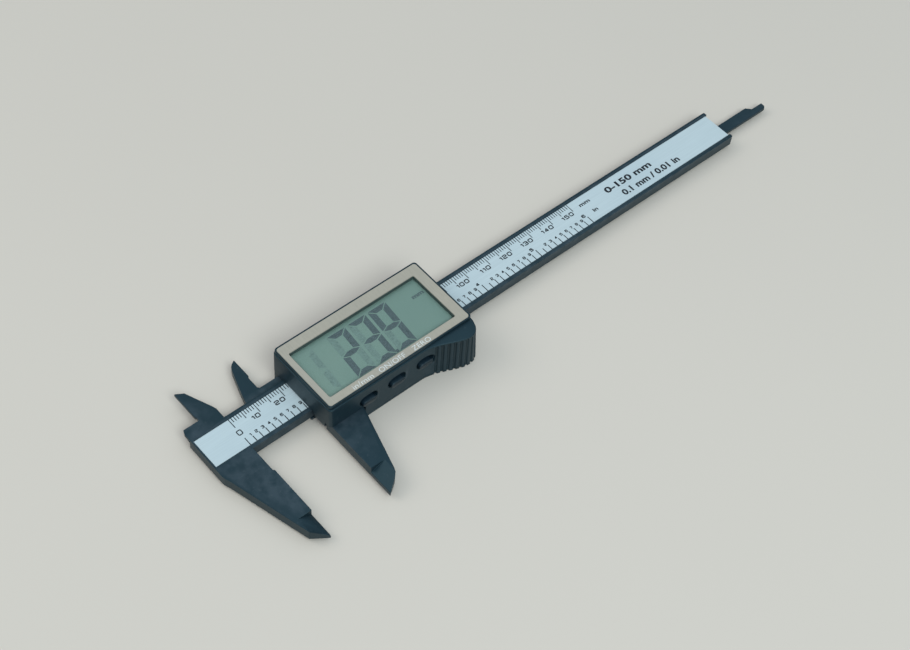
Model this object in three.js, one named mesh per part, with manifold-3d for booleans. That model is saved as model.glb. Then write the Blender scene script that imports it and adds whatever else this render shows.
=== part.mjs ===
// Digital caliper, 0 to 150 mm, in moulded black plastic: a beam with two fixed jaws, and a slider with two moving
// jaws, a depth rod, a large liquid crystal display, three push buttons and a button cell.
// Millimetres. +X along the beam to its free end, +Y to the inside jaws, +Z up from the surface it lies on.
// The drawing below uses the caliper's own zero: x = 0 at the zero mark of the scale, y = 0 on the beam's centreline,
// z = 0 at the slider's flat back. The last lines move it to the centre of the footprint.
import * as THREE from "three";
import { mergeVertices } from "three/addons/utils/BufferGeometryUtils.js";
import Module from "manifold-3d";

const wasm = await Module();
wasm.setup();

// ---------- driving dimensions ----------
const OPENING = 23.9; // how far the slider stands open at rest
const FACE_X = 0.2; // fixed measuring face; the moving face is there too when the caliper is closed

// Beam
const HEAD_LEFT = -14.3;
const BEAM_RIGHT = 223.7;
const BEAM_HALF = 7.65;
const BEAM_BOTTOM = 1.5;
const RAIL_TOP = 5.8;
const LABEL_TOP = 5.5;
const LABEL_THICK = 0.3;
const STRIP_TOP = 5.15;
const BED_FLOOR = 4.3;
const LABEL_HALF = 6.1;
const LABEL_LEFT = -13.55;
const LABEL_RIGHT = 223.0;
const HEAD_SHOULDER_Y = 11.6;

// Jaws
const OUTSIDE_TIP_Y = -47;
const BLADE_TOP_Y = -37.3; // where the outside blades start
const BLADE_WIDTH = 5.4;
const BLADE_EDGE_DROP = 2.7;
const INSIDE_EDGE_X = -7.9; // both inside edges are here when the caliper is closed
const INSIDE_TIP_Y = 24.8;
const LAP_LOW = 4.4; // the moving inside jaw ends here
const LAP_HIGH = 4.6; // the fixed inside jaw starts here
const MOVING_JAW_BOTTOM = 1.9;
const MOVING_JAW_TOP = 6.5;

// Depth rod
const ROD_LOW_Y = -3.4;
const ROD_HIGH_Y = 1.1;
const ROD_BOTTOM = 1.65;
const ROD_TOP = 3;
const ROD_START = 35.5;
const GROOVE_PLAY = 0.25;
const GROOVE_TOP = 3.2;

// Slider housing, with the slider closed
const CASE = { x0: -0.7, x1: 60.2, y0: -17.8, y1: 13 };
const CASE_BOTTOM = 1.3;
const CASE_TOP = 15.5;
const CASE_CORNER = 1.3;
const WALL = 1.6;
const THIN_WALL = 0.9;
const ROOF = 1.9;
const COVER = { x0: -0.4, x1: 59.7, y0: -16.9, y1: 12.8 };
const COVER_TOP = 17;
const BEZEL = { x0: 0.1, x1: 59.1, y0: -16.4, y1: 12.2 };
const BEZEL_THICK = 0.4;
const WINDOW = { x0: 2.3, x1: 55.35, y0: -13.5, y1: 8.3 };
const BEAM_PLAY = 0.2;
const JAW_WAY_X = 13.9; // the moving outside jaw leaves the case to the left of this
const HEAD_CLEARANCE = { x: -0.2, top: 6 }; // below this height the case starts here, clear of the fixed jaws

const RAIL_WINDOW = { x: 1, y0: -14.5, y1: -7.8, top: 3.2 }; // the slider frame's front rail shows through here

// Thumb grip: the front of the case swells out towards its right end
const GRIP_START = 38.5;
const GRIP_PEAK = { x: 54.8, y: -22.85 };
const GRIP_END_Y = -14.5;
const GRIP_SHOULDER = 4.2;
const GROOVE_FIRST_X = 43.2;
const GROOVE_COUNT = 10;
const GROOVE_PITCH = 2.17;
const GROOVE_RADIUS = 0.5;
const GROOVE_LIP = 0.5;

// How far the top edge of the case stands back from its bottom edge
const LEAN = { front: 0.4, right: 0.3, shoulder: 1.8 };

// Back plate, its screws and the battery door
const BACK_PLATE_TOP = 1.2;
const ROD_PAD_LENGTH = 8.5;
const CASE_SCREWS = [[6, -12.5], [37, -12.5], [5, 9.9], [55.5, 9.9]];
const ROD_SCREW = [39.5, -1.15];
const SCREW_RADIUS = 0.85;
const SCREW_HEAD = 1.6;
const SCREW_PLAY = 0.1;
const DOOR = { x0: 45.3, x1: 61, y0: -20.3, y1: -8 };
const DOOR_CORNER = 6;
const DOOR_TOP = 1.1;
const TONGUE = 0.6;

// Slider frame
const FRAME_BOTTOM = 1.5;
const FRAME_TOP = 5.95;
const BRIDGE_TOP = 7;
const BRIDGE_WIDTH = 2.6;
const FRAME_FRONT = -15.4;
const FRAME_BACK = 11.1;
const FRONT_RAIL_END = 43.5;
const THIN_RAIL_Y = -8.15; // beside the battery the front rail is only this far out
const SPRING_BAY = { x0: 10, x1: 50, y0: 7.65, y1: 9 };
const SPRING_THICK = 0.15;

// Buttons, pushed inwards along +Y
const BUTTON_XS = { in_mm: 15.2, on_off: 27.1, zero: 39.2 };
const BUTTON_SLOT = { z: 9.45, length: 7.4, height: 4.5 };
const BUTTON_CAP = { z: 8.65, length: 5.8, height: 2.6, proud: 0.6 };
const FLANGE = 0.6;
const FLANGE_LIP = 0.45;

// Display
const LCD = { x0: 1.4, x1: 56.7, y0: -15.1, y1: 9.9 };
const LCD_TOP = 15;
const LCD_GLASS = 1;
const CONTACT_LEDGE = 3;
const PANE = { bottom: 15.05, top: 15.35, overlap: 0.8 };
const CARRIER = { x0: 1.9, x1: 56.1, y0: -14.4, y1: 10.8 };
const CARRIER_THICK = 1.3;
const LEG = 1.6;
const ZEBRA = { x0: 8, x1: 50, y0: 7.2, y1: 9.2 };

// Circuit board and battery
const BOARD = { x0: 4, x1: 54, y0: -14, y1: 11 };
const BOARD_BOTTOM = 6.05;
const BOARD_TOP = 7;
const BOARD_CUTOUT = { x: 43.4, y: -8 }; // the corner left free for the battery
const BOARD_SCREWS = [[9, -10.5], [52, 9.6]];
const BOARD_SCREW_RADIUS = 0.6;
const BOARD_SCREW_HEAD = 1.2;
const CHIP = { x: 24, y: -1, radius: 4.5, height: 1.3 };
const CAPACITOR = { x0: 34, x1: 37.2, y0: 2.4, y1: 4, top: 8.2 };
const SWITCH = { width: 6, y0: -14.4, y1: -11.2, top: 10.7 };
const PLUNGER = { radius: 1, length: 0.5 };
const CELL = { x: 51.6, y: -14.3, radius: 5.8, bottom: 1.5, height: 5.4, step: 0.9 };
const CONTACT_THICK = 0.25;
const GAP = 0.05; // between pieces that rest on each other

// ---------- solids ----------
function solidOf(geometry) {
  const bare = geometry.index ? geometry.toNonIndexed() : geometry.clone();
  for (const name of Object.keys(bare.attributes)) {
    if (name !== "position") bare.deleteAttribute(name);
  }
  const merged = mergeVertices(bare, 1e-4);
  return new wasm.Manifold(
    new wasm.Mesh({
      numProp: 3,
      vertProperties: merged.attributes.position.array,
      triVerts: new Uint32Array(merged.index.array),
    }),
  );
}

function joined(first, ...others) {
  return others.reduce((sum, other) => sum.add(other), first);
}

function without(first, ...others) {
  return others.reduce((rest, other) => rest.subtract(other), first);
}

function geometryOf(solid) {
  const mesh = solid.getMesh();
  const geometry = new THREE.BufferGeometry();
  geometry.setAttribute("position", new THREE.BufferAttribute(new Float32Array(mesh.vertProperties), 3));
  geometry.setIndex(new THREE.BufferAttribute(new Uint32Array(mesh.triVerts), 1));
  const faceted = geometry.toNonIndexed();
  faceted.computeVertexNormals();
  return faceted;
}

// An upright plate of the given outline.
function plate(shape, bottom, top, curveSegments = 8) {
  const settings = { depth: top - bottom, bevelEnabled: false, curveSegments };
  const geometry = new THREE.ExtrudeGeometry(shape, settings);
  geometry.translate(0, 0, bottom);
  return solidOf(geometry);
}

function polygon(points) {
  return new THREE.Shape(points.map(([x, y]) => new THREE.Vector2(x, y)));
}

// An upright solid whose outline changes evenly from one shape to another drawn with the same curves.
function loft(lowShape, highShape, bottom, top, curveSegments) {
  const rings = [lowShape, highShape].map((shape) => shape.getPoints(curveSegments).slice(0, -1));
  const [low, high] = rings;
  const count = low.length;
  const positions = [...low.flatMap(({ x, y }) => [x, y, bottom]), ...high.flatMap(({ x, y }) => [x, y, top])];
  const floor = THREE.ShapeUtils.triangulateShape(low, []).flatMap(([a, b, c]) => [a, c, b]);
  const ceiling = THREE.ShapeUtils.triangulateShape(high, []).flat().map((i) => i + count);
  const sides = low.flatMap((_, i) => {
    const next = (i + 1) % count;
    return [i, next, count + next, i, count + next, count + i];
  });
  const geometry = new THREE.BufferGeometry();
  geometry.setAttribute("position", new THREE.Float32BufferAttribute(positions, 3));
  geometry.setIndex([...floor, ...ceiling, ...sides]);
  return solidOf(geometry);
}

function box(x0, x1, y0, y1, z0, z1) {
  const geometry = new THREE.BoxGeometry(x1 - x0, y1 - y0, z1 - z0);
  geometry.translate((x0 + x1) / 2, (y0 + y1) / 2, (z0 + z1) / 2);
  return solidOf(geometry);
}

function post(x, y, radius, bottom, top, sides = 24) {
  const geometry = new THREE.CylinderGeometry(radius, radius, top - bottom, sides);
  geometry.rotateX(Math.PI / 2);
  geometry.translate(x, y, (bottom + top) / 2);
  return solidOf(geometry);
}

function roundedRectangle({ x0, x1, y0, y1 }, radius) {
  const shape = new THREE.Shape();
  shape.moveTo(x0 + radius, y0);
  shape.lineTo(x1 - radius, y0);
  shape.absarc(x1 - radius, y0 + radius, radius, -Math.PI / 2, 0, false);
  shape.lineTo(x1, y1 - radius);
  shape.absarc(x1 - radius, y1 - radius, radius, 0, Math.PI / 2, false);
  shape.lineTo(x0 + radius, y1);
  shape.absarc(x0 + radius, y1 - radius, radius, Math.PI / 2, Math.PI, false);
  shape.lineTo(x0, y0 + radius);
  shape.absarc(x0 + radius, y0 + radius, radius, Math.PI, Math.PI * 1.5, false);
  return shape;
}

function grown({ x0, x1, y0, y1 }, by) {
  return { x0: x0 - by, x1: x1 + by, y0: y0 - by, y1: y1 + by };
}

// A round-ended bar along X, seen from the front, that runs from y0 to y1.
function oval(x, z, length, height, y0, y1) {
  const shape = roundedRectangle(
    { x0: -length / 2, x1: length / 2, y0: -height / 2, y1: height / 2 },
    height / 2 - 0.001,
  );
  const geometry = new THREE.ExtrudeGeometry(shape, { depth: y1 - y0, bevelEnabled: false, curveSegments: 8 });
  geometry.rotateX(Math.PI / 2);
  geometry.translate(x, y1, z);
  return solidOf(geometry);
}

// ---------- materials ----------
function material(color, roughness, metalness = 0) {
  return new THREE.MeshStandardMaterial({ color, roughness, metalness });
}

const blackPlastic = () => material(0x272d30, 0.5);
const silverPrint = () => material(0xb0aca5, 0.35, 0.2);
const labelFoil = () => material(0xb4c9d6, 0.4);
const copperClad = () => material(0x2f5b3a, 0.5);
const clearPlastic = () => material(0xdfe6e4, 0.08);
const crystalGlass = () => material(0x768f89, 0.15);
const steel = () => material(0xb8babd, 0.3, 1);
const springBronze = () => material(0xb88a4a, 0.35, 1);
const softBlack = () => material(0x17191b, 0.7);

function piece(name, solid, itsMaterial) {
  const mesh = new THREE.Mesh(geometryOf(solid), itsMaterial);
  mesh.name = name;
  return mesh;
}

// ---------- beam ----------

// The blade of an outside jaw: its top slopes down to the measuring edge at the given x. side is +1 when the jaw's
// body lies to the left of its measuring face, and -1 when it lies to the right.
function bladeCut(faceX, side, jawTop) {
  const profile = polygon([
    [side * -BLADE_WIDTH, 0],
    [side * 1, -BLADE_EDGE_DROP * (1 + 1 / BLADE_WIDTH)],
    [side * 1, 2],
    [side * -BLADE_WIDTH, 2],
  ]);
  const length = BLADE_TOP_Y - OUTSIDE_TIP_Y + 1;
  const geometry = new THREE.ExtrudeGeometry(profile, { depth: length, bevelEnabled: false });
  geometry.rotateX(Math.PI / 2);
  geometry.translate(faceX, BLADE_TOP_Y, jawTop);
  return solidOf(geometry);
}

// The measuring faces stand a little proud of the relief above them.
function fixedOutsideJaw() {
  const outline = polygon([
    [HEAD_LEFT, -BEAM_HALF + 1],
    [HEAD_LEFT, -10.2],
    [-14, -11.6],
    [-13.4, -13.2],
    [-5.3, -43.1],
    [FACE_X, OUTSIDE_TIP_Y],
    [FACE_X, -18.5],
    [-0.3, -18],
    [-0.3, -BEAM_HALF + 1],
  ]);
  return without(plate(outline, BEAM_BOTTOM, RAIL_TOP), bladeCut(FACE_X, 1, RAIL_TOP));
}

function fixedInsideJaw() {
  const outline = polygon([
    [HEAD_LEFT, BEAM_HALF - 1],
    [-0.4, BEAM_HALF - 1],
    [-0.4, 11.9],
    [-0.9, 13.4],
    [-2, 16],
    [-5, 23.1],
    [-7.1, 24.4],
    [INSIDE_EDGE_X, INSIDE_TIP_Y],
    [INSIDE_EDGE_X, 13.4],
    [-7.5, 13],
    [-7.5, HEAD_SHOULDER_Y],
    [-13.6, HEAD_SHOULDER_Y],
    [HEAD_LEFT, 9.9],
  ]);
  return plate(outline, LAP_HIGH, RAIL_TOP);
}

function beamFrame() {
  const bar = plate(roundedRectangle({ x0: HEAD_LEFT, x1: BEAM_RIGHT, y0: -BEAM_HALF, y1: BEAM_HALF }, 0.6),
    BEAM_BOTTOM, RAIL_TOP, 4);
  const bedHalf = LABEL_HALF + GAP;
  const scaleBed = box(LABEL_LEFT - 0.1, BEAM_RIGHT + 1, -bedHalf, bedHalf, BED_FLOOR, RAIL_TOP + 1);
  const rodGroove = box(ROD_START - 2.5, BEAM_RIGHT + 1, ROD_LOW_Y - GROOVE_PLAY, ROD_HIGH_Y + GROOVE_PLAY,
    BEAM_BOTTOM - 1, GROOVE_TOP);
  const frame = joined(bar, fixedOutsideJaw(), fixedInsideJaw());
  return piece("beam_frame", without(frame, scaleBed, rodGroove), blackPlastic());
}

// Circuit board with the row of printed electrodes that the slider reads.
function scaleStrip() {
  const solid = box(LABEL_LEFT + 0.5, LABEL_RIGHT - 0.5, -LABEL_HALF + 0.1, LABEL_HALF - 0.1,
    BED_FLOOR + GAP, STRIP_TOP);
  return piece("scale_strip", solid, copperClad());
}

function scaleLabel() {
  const solid = box(LABEL_LEFT, LABEL_RIGHT, -LABEL_HALF, LABEL_HALF, LABEL_TOP - LABEL_THICK, LABEL_TOP);
  return piece("scale_label", solid, labelFoil());
}

// ---------- slider frame ----------
function movingOutsideJaw() {
  const outline = polygon([
    [FACE_X, -14.3],
    [FACE_X, OUTSIDE_TIP_Y],
    [4.2, -44.3],
    [5.5, -43],
    [6.1, -41.6],
    [12.6, -19.5],
    [13.3, -17],
    [13.3, -14.3],
  ]);
  return without(plate(outline, MOVING_JAW_BOTTOM, MOVING_JAW_TOP), bladeCut(FACE_X, -1, MOVING_JAW_TOP));
}

function movingInsideJaw() {
  const outline = polygon([
    [-15.2, BEAM_HALF + BEAM_PLAY],
    [-14.4, 11],
    [-13, 15.5],
    [-11, 21.5],
    [-10.3, 23],
    [-9.4, 23.9],
    [INSIDE_EDGE_X, INSIDE_TIP_Y],
    [INSIDE_EDGE_X, 16.6],
    [-8.4, 16],
    [-8.4, 11.3],
    [-7.9, 10.6],
    [4, 10.6],
    [4, BEAM_HALF + BEAM_PLAY],
  ]);
  return plate(outline, BEAM_BOTTOM, LAP_LOW);
}

function sliderFrame() {
  const left = CASE.x0 + WALL + 0.2;
  const right = CASE.x1 - WALL - 0.2;
  const near = -BEAM_HALF - BEAM_PLAY;
  const far = BEAM_HALF + BEAM_PLAY;
  const frontRail = box(left, FRONT_RAIL_END, FRAME_FRONT, near, FRAME_BOTTOM, FRAME_TOP);
  const thinRail = box(FRONT_RAIL_END - 1, right, THIN_RAIL_Y, near, FRAME_BOTTOM, FRAME_TOP);
  const backRail = box(left, right, far, FRAME_BACK, FRAME_BOTTOM, FRAME_TOP);
  const bridges = [left, right - BRIDGE_WIDTH].map((x) => without(
    box(x, x + BRIDGE_WIDTH, THIN_RAIL_Y, FRAME_BACK, FRAME_TOP - 1, BRIDGE_TOP),
    box(x - 1, x + BRIDGE_WIDTH + 1, near, far, 0, RAIL_TOP + 0.2),
  ));
  const springBay = box(SPRING_BAY.x0, SPRING_BAY.x1, SPRING_BAY.y0, SPRING_BAY.y1, 2, 5.3);
  const caseScrewHoles = CASE_SCREWS.map(([x, y]) => post(x, y, SCREW_RADIUS + SCREW_PLAY, 0, 5.2, 16));
  const boardScrewHoles = BOARD_SCREWS.map(([x, y]) => post(x, y, BOARD_SCREW_RADIUS + SCREW_PLAY, 3.2,
    BRIDGE_TOP, 12));
  const frame = joined(frontRail, thinRail, backRail, ...bridges, movingOutsideJaw(), movingInsideJaw());
  const solid = without(frame, springBay, ...caseScrewHoles, ...boardScrewHoles);
  return piece("slider_frame", solid, blackPlastic());
}

// Wear strip and bowed leaf spring that take up the play between slider and beam.
function gibStrip() {
  const y0 = BEAM_HALF + GAP;
  const solid = box(SPRING_BAY.x0 + 2, SPRING_BAY.x1 - 2, y0, y0 + 0.4, 2.3, 5);
  return piece("gib_strip", solid, springBronze());
}

function gibSpring() {
  const half = 17;
  const steps = 16;
  const middle = (SPRING_BAY.x0 + SPRING_BAY.x1) / 2;
  const low = BEAM_HALF + 0.5;
  const rise = SPRING_BAY.y1 - low - SPRING_THICK - GAP;
  const inner = Array.from({ length: steps + 1 }, (_, i) => {
    const t = (2 * i) / steps - 1;
    return [middle + half * t, low + rise * (1 - t * t)];
  });
  const outer = inner.map(([x, y]) => [x, y + SPRING_THICK]).reverse();
  return piece("gib_spring", plate(polygon([...inner, ...outer]), 2.6, 4.7), steel());
}

// ---------- slider case ----------

// Outline of the case: a rectangle with small corners, whose front swells into the thumb grip. lean is 0 at the
// bottom edge and 1 at the top edge.
function caseOutline(inset = 0, lean = 0) {
  const x0 = CASE.x0 + inset;
  const x1 = CASE.x1 - inset - lean * LEAN.right;
  const y0 = CASE.y0 + inset + lean * LEAN.front;
  const y1 = CASE.y1 - inset;
  const peak = { x: GRIP_PEAK.x, y: GRIP_PEAK.y + inset + lean * LEAN.front };
  const shoulder = GRIP_SHOULDER - inset - lean * LEAN.shoulder;
  const corner = Math.max(CASE_CORNER - inset, 0.3);
  const shape = new THREE.Shape();
  shape.moveTo(x0 + corner, y0);
  shape.lineTo(GRIP_START, y0);
  shape.bezierCurveTo(GRIP_START + 5.8, y0 - 0.25, peak.x - 4.3, peak.y, peak.x, peak.y);
  shape.bezierCurveTo(peak.x + shoulder, peak.y, x1, peak.y + 1.9, x1, GRIP_END_Y);
  shape.lineTo(x1, y1 - corner);
  shape.absarc(x1 - corner, y1 - corner, corner, 0, Math.PI / 2, false);
  shape.lineTo(x0 + corner, y1);
  shape.absarc(x0 + corner, y1 - corner, corner, Math.PI / 2, Math.PI, false);
  shape.lineTo(x0, y0 + corner);
  shape.absarc(x0 + corner, y0 + corner, corner, Math.PI, Math.PI * 1.5, false);
  return shape;
}

function disc({ x, y }, radius) {
  const shape = new THREE.Shape();
  shape.absarc(x, y, radius, 0, Math.PI * 2, false);
  return shape;
}

// Upright grooves round the swelling, at equal steps along its outline, under a smooth top edge.
function gripGrooves() {
  const low = caseOutline().getPoints(200);
  const high = caseOutline(0, 1).getPoints(200);
  const centres = [low.findIndex((point) => point.x > GROOVE_FIRST_X && point.y < CASE.y0)];
  let run = 0;
  for (let i = centres[0]; centres.length < GROOVE_COUNT; i += 1) {
    run += low[i].distanceTo(low[i + 1]);
    if (run >= GROOVE_PITCH) {
      centres.push(i + 1);
      run = 0;
    }
  }
  return centres.map((i) => loft(disc(low[i], GROOVE_RADIUS), disc(high[i], GROOVE_RADIUS), -1,
    CASE_TOP - GROOVE_LIP, 4));
}

function sliderCase() {
  const past = grown(CASE, 1);
  const shell = loft(caseOutline(), caseOutline(0, 1), CASE_BOTTOM, CASE_TOP, 12);
  const underTop = plate(caseOutline(THIN_WALL, 1), CASE_BOTTOM - 1, CASE_TOP, 12);
  const cavity = plate(caseOutline(WALL), CASE_BOTTOM - 1, CASE_TOP - ROOF, 12).intersect(underTop);
  const topOpening = plate(roundedRectangle(grown(LCD, 0.3), 0.5), CASE_TOP - ROOF - 1, CASE_TOP + 1, 4);
  const beamWay = box(past.x0, past.x1, -BEAM_HALF - BEAM_PLAY, BEAM_HALF + BEAM_PLAY, 0, HEAD_CLEARANCE.top);
  const insideJawWay = box(past.x0, WALL + 1, 0, 10.8, 0, LAP_LOW + BEAM_PLAY);
  const outsideJawWay = box(past.x0, JAW_WAY_X, past.y0, -14, 0, MOVING_JAW_TOP + 0.15);
  const railWindow = box(past.x0, RAIL_WINDOW.x, RAIL_WINDOW.y0, RAIL_WINDOW.y1, 0, RAIL_WINDOW.top);
  const headWay = box(past.x0, HEAD_CLEARANCE.x, past.y0, past.y1, 0, HEAD_CLEARANCE.top);
  const xs = Object.values(BUTTON_XS);
  const { z, length, height } = BUTTON_SLOT;
  const buttonSlots = xs.map((x) => oval(x, z, length, height, GRIP_PEAK.y, CASE.y0 + WALL + 1));
  const solid = without(shell, cavity, topOpening, beamWay, insideJawWay, outsideJawWay, headWay, railWindow,
    ...gripGrooves(), ...buttonSlots);
  return piece("slider_case", solid, blackPlastic());
}

function displayCover() {
  const lid = plate(roundedRectangle(COVER, 1.2), CASE_TOP, COVER_TOP, 4);
  const opening = plate(roundedRectangle(WINDOW, 0.6), CASE_TOP - 1, COVER_TOP + 1, 4);
  const lip = plate(roundedRectangle(grown(WINDOW, PANE.overlap), 0.6), PANE.top + GAP, CASE_TOP + 0.1, 4);
  const bezelSeat = plate(roundedRectangle(grown(BEZEL, GAP), 1.1), COVER_TOP - BEZEL_THICK - GAP,
    COVER_TOP + 1, 4);
  return piece("display_cover", without(joined(lid, lip), opening, bezelSeat), blackPlastic());
}

function bezelPlate() {
  const sheet = plate(roundedRectangle(BEZEL, 1), COVER_TOP - BEZEL_THICK, COVER_TOP, 4);
  const opening = plate(roundedRectangle(WINDOW, 0.6), CASE_TOP, COVER_TOP + 1, 4);
  return piece("bezel_plate", without(sheet, opening), silverPrint());
}

function windowPane() {
  const solid = plate(roundedRectangle(grown(WINDOW, PANE.overlap), 0.6), PANE.bottom, PANE.top, 4);
  return piece("window_pane", solid, clearPlastic());
}

// ---------- display ----------
function lcdFrontGlass() {
  const solid = box(LCD.x0, LCD.x1, LCD.y0, LCD.y1, LCD_TOP - LCD_GLASS, LCD_TOP);
  return piece("lcd_front_glass", solid, crystalGlass());
}

// Shorter than the front glass at the back, which leaves the contact ledge free.
function lcdRearGlass() {
  const top = LCD_TOP - LCD_GLASS - GAP;
  const solid = box(LCD.x0, LCD.x1, LCD.y0, LCD.y1 - CONTACT_LEDGE, top - LCD_GLASS, top);
  return piece("lcd_rear_glass", solid, crystalGlass());
}

// Black ring under the glass, on two legs that stand on the slider frame.
function lcdCarrier() {
  const top = LCD_TOP - 2 * LCD_GLASS - 2 * GAP;
  const bottom = top - CARRIER_THICK;
  const { x0, x1, y0, y1 } = CARRIER;
  const ring = without(box(x0, x1, y0, y1, bottom, top), box(6, 52, -11, 9.6, bottom - 1, top + 1));
  const legs = [x0, x1 - LEG].map((x) => box(x, x + LEG, THIN_RAIL_Y, y1, BRIDGE_TOP + GAP, bottom + 0.5));
  return piece("lcd_carrier", joined(ring, ...legs), softBlack());
}

// Striped rubber that joins the board to the contact ledge of the glass.
function zebraConnector() {
  const solid = box(ZEBRA.x0, ZEBRA.x1, ZEBRA.y0, ZEBRA.y1, BOARD_TOP + GAP, LCD_TOP - LCD_GLASS - GAP);
  return piece("zebra_connector", solid, softBlack());
}

// ---------- circuit board ----------
function mainBoard() {
  const sheet = box(BOARD.x0, BOARD.x1, BOARD.y0, BOARD.y1, BOARD_BOTTOM, BOARD_TOP);
  const cutout = box(BOARD_CUTOUT.x, BOARD.x1 + 1, BOARD.y0 - 1, BOARD_CUTOUT.y, 0, BOARD_TOP + 1);
  const holes = BOARD_SCREWS.map(([x, y]) => post(x, y, BOARD_SCREW_RADIUS + SCREW_PLAY, 0, BOARD_TOP + 1, 12));
  return piece("main_board", without(sheet, cutout, ...holes), copperClad());
}

// Drop of resin over the bare controller chip.
function controllerChip() {
  const steps = 6;
  const rim = Array.from({ length: steps }, (_, i) => {
    const angle = (i / steps) * (Math.PI / 2);
    return new THREE.Vector2(CHIP.radius * Math.cos(angle), CHIP.height * Math.sin(angle));
  });
  const profile = [new THREE.Vector2(0, 0), ...rim, new THREE.Vector2(0, CHIP.height)];
  const geometry = new THREE.LatheGeometry(profile, 24);
  geometry.rotateX(Math.PI / 2);
  geometry.translate(CHIP.x, CHIP.y, BOARD_TOP + GAP);
  return piece("controller_chip", solidOf(geometry), softBlack());
}

function filterCapacitor() {
  const { x0, x1, y0, y1, top } = CAPACITOR;
  return piece("filter_capacitor", box(x0, x1, y0, y1, BOARD_TOP + GAP, top), springBronze());
}

function boardScrew(index) {
  const [x, y] = BOARD_SCREWS[index];
  const shank = post(x, y, BOARD_SCREW_RADIUS, 3.4, BOARD_TOP + 0.3, 12);
  const head = post(x, y, BOARD_SCREW_HEAD, BOARD_TOP + GAP, BOARD_TOP + 0.65);
  const slot = box(x - 2, x + 2, y - 0.15, y + 0.15, BOARD_TOP + 0.4, BOARD_TOP + 1);
  return piece(`board_screw_${index + 1}`, without(joined(shank, head), slot), steel());
}

// ---------- buttons ----------
function button(name, x) {
  const { z, length, height, proud } = BUTTON_CAP;
  const back = CASE.y0 + WALL + FLANGE;
  const cap = oval(x, z, length, height, CASE.y0 - proud, back);
  const flange = oval(x, BUTTON_SLOT.z, BUTTON_SLOT.length + 2 * FLANGE_LIP, BUTTON_SLOT.height + 2 * FLANGE_LIP,
    back - FLANGE + GAP, back);
  return piece(`button_${name}`, joined(cap, flange), softBlack());
}

function sideSwitch(name, x) {
  const half = SWITCH.width / 2;
  const body = box(x - half, x + half, SWITCH.y0, SWITCH.y1, BOARD_TOP + GAP, SWITCH.top);
  const plunger = post(0, 0, PLUNGER.radius, -PLUNGER.length, PLUNGER.length, 12);
  const forward = plunger.rotate([90, 0, 0]).translate([x, SWITCH.y0, BUTTON_SLOT.z - 0.5]);
  return piece(`switch_${name}`, joined(body, forward), softBlack());
}

// ---------- battery ----------
function buttonCell() {
  const top = CELL.bottom + CELL.height;
  const can = post(CELL.x, CELL.y, CELL.radius, CELL.bottom, top - CELL.step, 32);
  const cap = post(CELL.x, CELL.y, CELL.radius - CELL.step, CELL.bottom + 1, top, 32);
  return piece("button_cell", joined(can, cap), steel());
}

function contactNegative() {
  const bottom = BOARD_TOP + GAP;
  const leaf = box(42.5, CELL.x + 3, CELL.y + 3, CELL.y + 5.4, bottom, bottom + CONTACT_THICK);
  return piece("battery_contact_negative", leaf, springBronze());
}

function contactPositive() {
  const y0 = CELL.y + CELL.radius + GAP;
  const blade = box(CELL.x - 5, CELL.x + 2, y0, y0 + CONTACT_THICK, 2, BOARD_TOP + 1);
  return piece("battery_contact_positive", blade, springBronze());
}

// ---------- back ----------

// Plan of the battery door: square at the right, with the corner at the left rounded like the cell.
function doorOutline(by = 0) {
  const { x0, x1, y0, y1 } = grown(DOOR, by);
  const corner = DOOR_CORNER + by;
  const shape = new THREE.Shape();
  shape.moveTo(x0 + corner, y0);
  shape.lineTo(x1, y0);
  shape.lineTo(x1, y1);
  shape.lineTo(x0, y1);
  shape.lineTo(x0, y0 + corner);
  shape.absarc(x0 + corner, y0 + corner, corner, Math.PI, Math.PI * 1.5, false);
  return shape;
}

// Tongues along both sides of the door, which guide it along +X.
function doorTongues(by, end) {
  const low = 0.4 - by;
  const high = 0.8 + by;
  return [
    box(DOOR.x0 + DOOR_CORNER - by, end, DOOR.y0 - TONGUE - by, DOOR.y0 + 1, low, high),
    box(DOOR.x0 - by, end, DOOR.y1 - 1, DOOR.y1 + TONGUE + by, low, high),
  ];
}

function backPlate() {
  const sheet = plate(caseOutline(), 0, BACK_PLATE_TOP, 12);
  const rodPad = box(ROD_START, ROD_START + ROD_PAD_LENGTH, ROD_LOW_Y, ROD_HIGH_Y, BACK_PLATE_TOP - 0.2,
    ROD_BOTTOM - GAP);
  const doorway = plate(doorOutline(0.1), -1, BACK_PLATE_TOP + 1, 8);
  const underJaw = box(CASE.x0 - 1, JAW_WAY_X, CASE.y0 - 1, CASE.y0 + 1.7, -1, BACK_PLATE_TOP + 1);
  const underRail = box(CASE.x0 - 1, RAIL_WINDOW.x + 1.2, CASE.y0 - 1, RAIL_WINDOW.y1, -1, BACK_PLATE_TOP + 1);
  const screws = [...CASE_SCREWS, ROD_SCREW];
  const shankHoles = screws.map(([x, y]) => post(x, y, SCREW_RADIUS + SCREW_PLAY, -1, ROD_TOP, 16));
  const headSeats = screws.map(([x, y]) => post(x, y, SCREW_HEAD + SCREW_PLAY, -1, 0.8));
  const solid = without(joined(sheet, rodPad), doorway, underJaw, underRail,
    ...doorTongues(0.1, DOOR.x1 + 1), ...shankHoles, ...headSeats, ...gripGrooves());
  return piece("back_plate", solid, blackPlastic());
}

// Slides off along +X; its right edge follows the case.
function batteryDoor() {
  const panel = plate(doorOutline(), 0, DOOR_TOP, 8);
  const whole = joined(panel, ...doorTongues(0, DOOR.x1)).intersect(plate(caseOutline(), -1, 3, 12));
  const pushMarks = [0, 1.6, 3.2].map((step) => box(48 + step, 48.6 + step, -17, -11.6, -1, 0.25));
  return piece("battery_door", without(whole, ...pushMarks), blackPlastic());
}

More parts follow.
